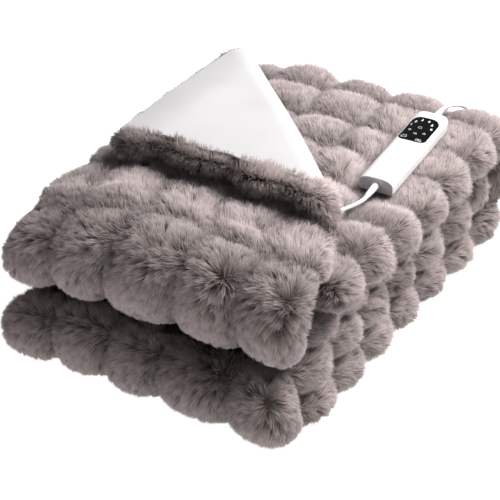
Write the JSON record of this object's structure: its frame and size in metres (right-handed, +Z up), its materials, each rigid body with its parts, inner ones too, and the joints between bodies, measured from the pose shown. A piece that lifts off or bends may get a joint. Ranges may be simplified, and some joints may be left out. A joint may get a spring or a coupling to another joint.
{
  "type": "folded electric heated throw",
  "caption": "Puffed faux fur heated throw folded into a stack, one corner turned back over its smooth lining, with a hand control and mains lead.",
  "frame": {"origin": "centre of the folded stack's outline, on the surface that it lies on", "axes": "+X across the stack towards the end with the hand control, +Y from the folded front to the back, +Z up"},
  "size_m": [0.4166, 0.703, 0.2377],
  "materials": {
    "pile": "long soft warm grey pile, matt",
    "lining": "smooth off-white lining, soft sheen",
    "white_plastic": "glossy white moulded plastic",
    "black_display": "glossy black display",
    "white_cord": "white flexible sheath, satin",
    "pin_metal": "nickel-plated pins"
  },
  "bodies": {
    "root": {"throw": "pile", "lining": "lining", "handset": "white_plastic", "display": "black_display", "lead_guard": "white_cord", "mains_guard": "white_cord", "lead": "white_cord", "mains_cord": "white_cord", "mains_coil": "white_cord", "mains_tail": "white_cord", "plug": "white_plastic", "plug_pin_1": "pin_metal", "plug_pin_2": "pin_metal"}
  },
  "joints": []
}
